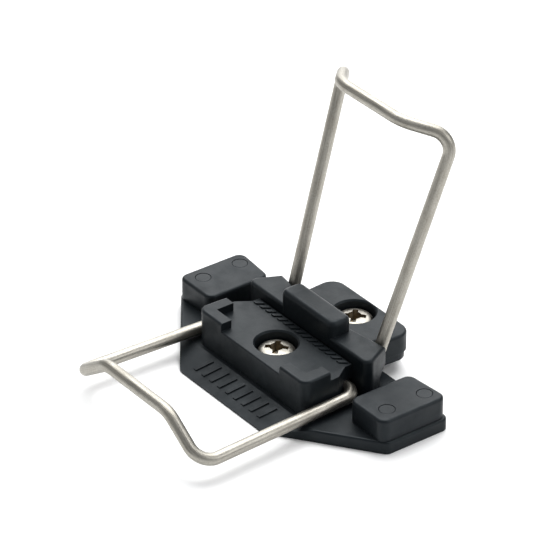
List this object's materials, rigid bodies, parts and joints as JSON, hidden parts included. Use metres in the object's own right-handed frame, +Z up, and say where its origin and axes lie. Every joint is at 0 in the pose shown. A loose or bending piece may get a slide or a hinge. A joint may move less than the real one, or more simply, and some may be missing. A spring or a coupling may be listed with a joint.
{
  "type": "touring binding heel lift",
  "caption": "Touring ski binding heel piece: moulded base with heel pads, clamp blocks and hinged wire climbing lifts, screwed to the ski.",
  "frame": {"origin": "ski surface, midway between the two ski screws, on the base plate's underside", "axes": "+X across the ski, -Y towards the toe, +Z up from the ski"},
  "size_m": [0.0844, 0.08, 0.0796],
  "materials": {
    "nylon": "semi-matte moulded nylon",
    "pad_nylon": "matte moulded nylon",
    "wire": "drawn stainless spring wire",
    "screw": "bright stainless"
  },
  "bodies": {
    "base": {"base_plate": "nylon", "left_heel_pad": "pad_nylon", "right_heel_pad": "pad_nylon", "left_pad_pegs": "pad_nylon", "right_pad_pegs": "pad_nylon", "front_clamp_block": "nylon", "rear_clamp_block": "nylon", "front_screw": "screw", "rear_screw": "screw"},
    "low_lift": {"low_wire": "wire"},
    "high_lift": {"high_wire": "wire"}
  },
  "joints": [
    {"name": "low_lift_hinge", "type": "hinge", "parent": "base", "child": "low_lift", "pos_m": [0, -0.005, 0.0052], "axis": [-1, 0, 0], "range_deg": [0, 92]},
    {"name": "high_lift_hinge", "type": "hinge", "parent": "base", "child": "high_lift", "pos_m": [0, 0.0044, 0.0052], "axis": [1, 0, 0], "range_deg": [-71, 0]}
  ]
}
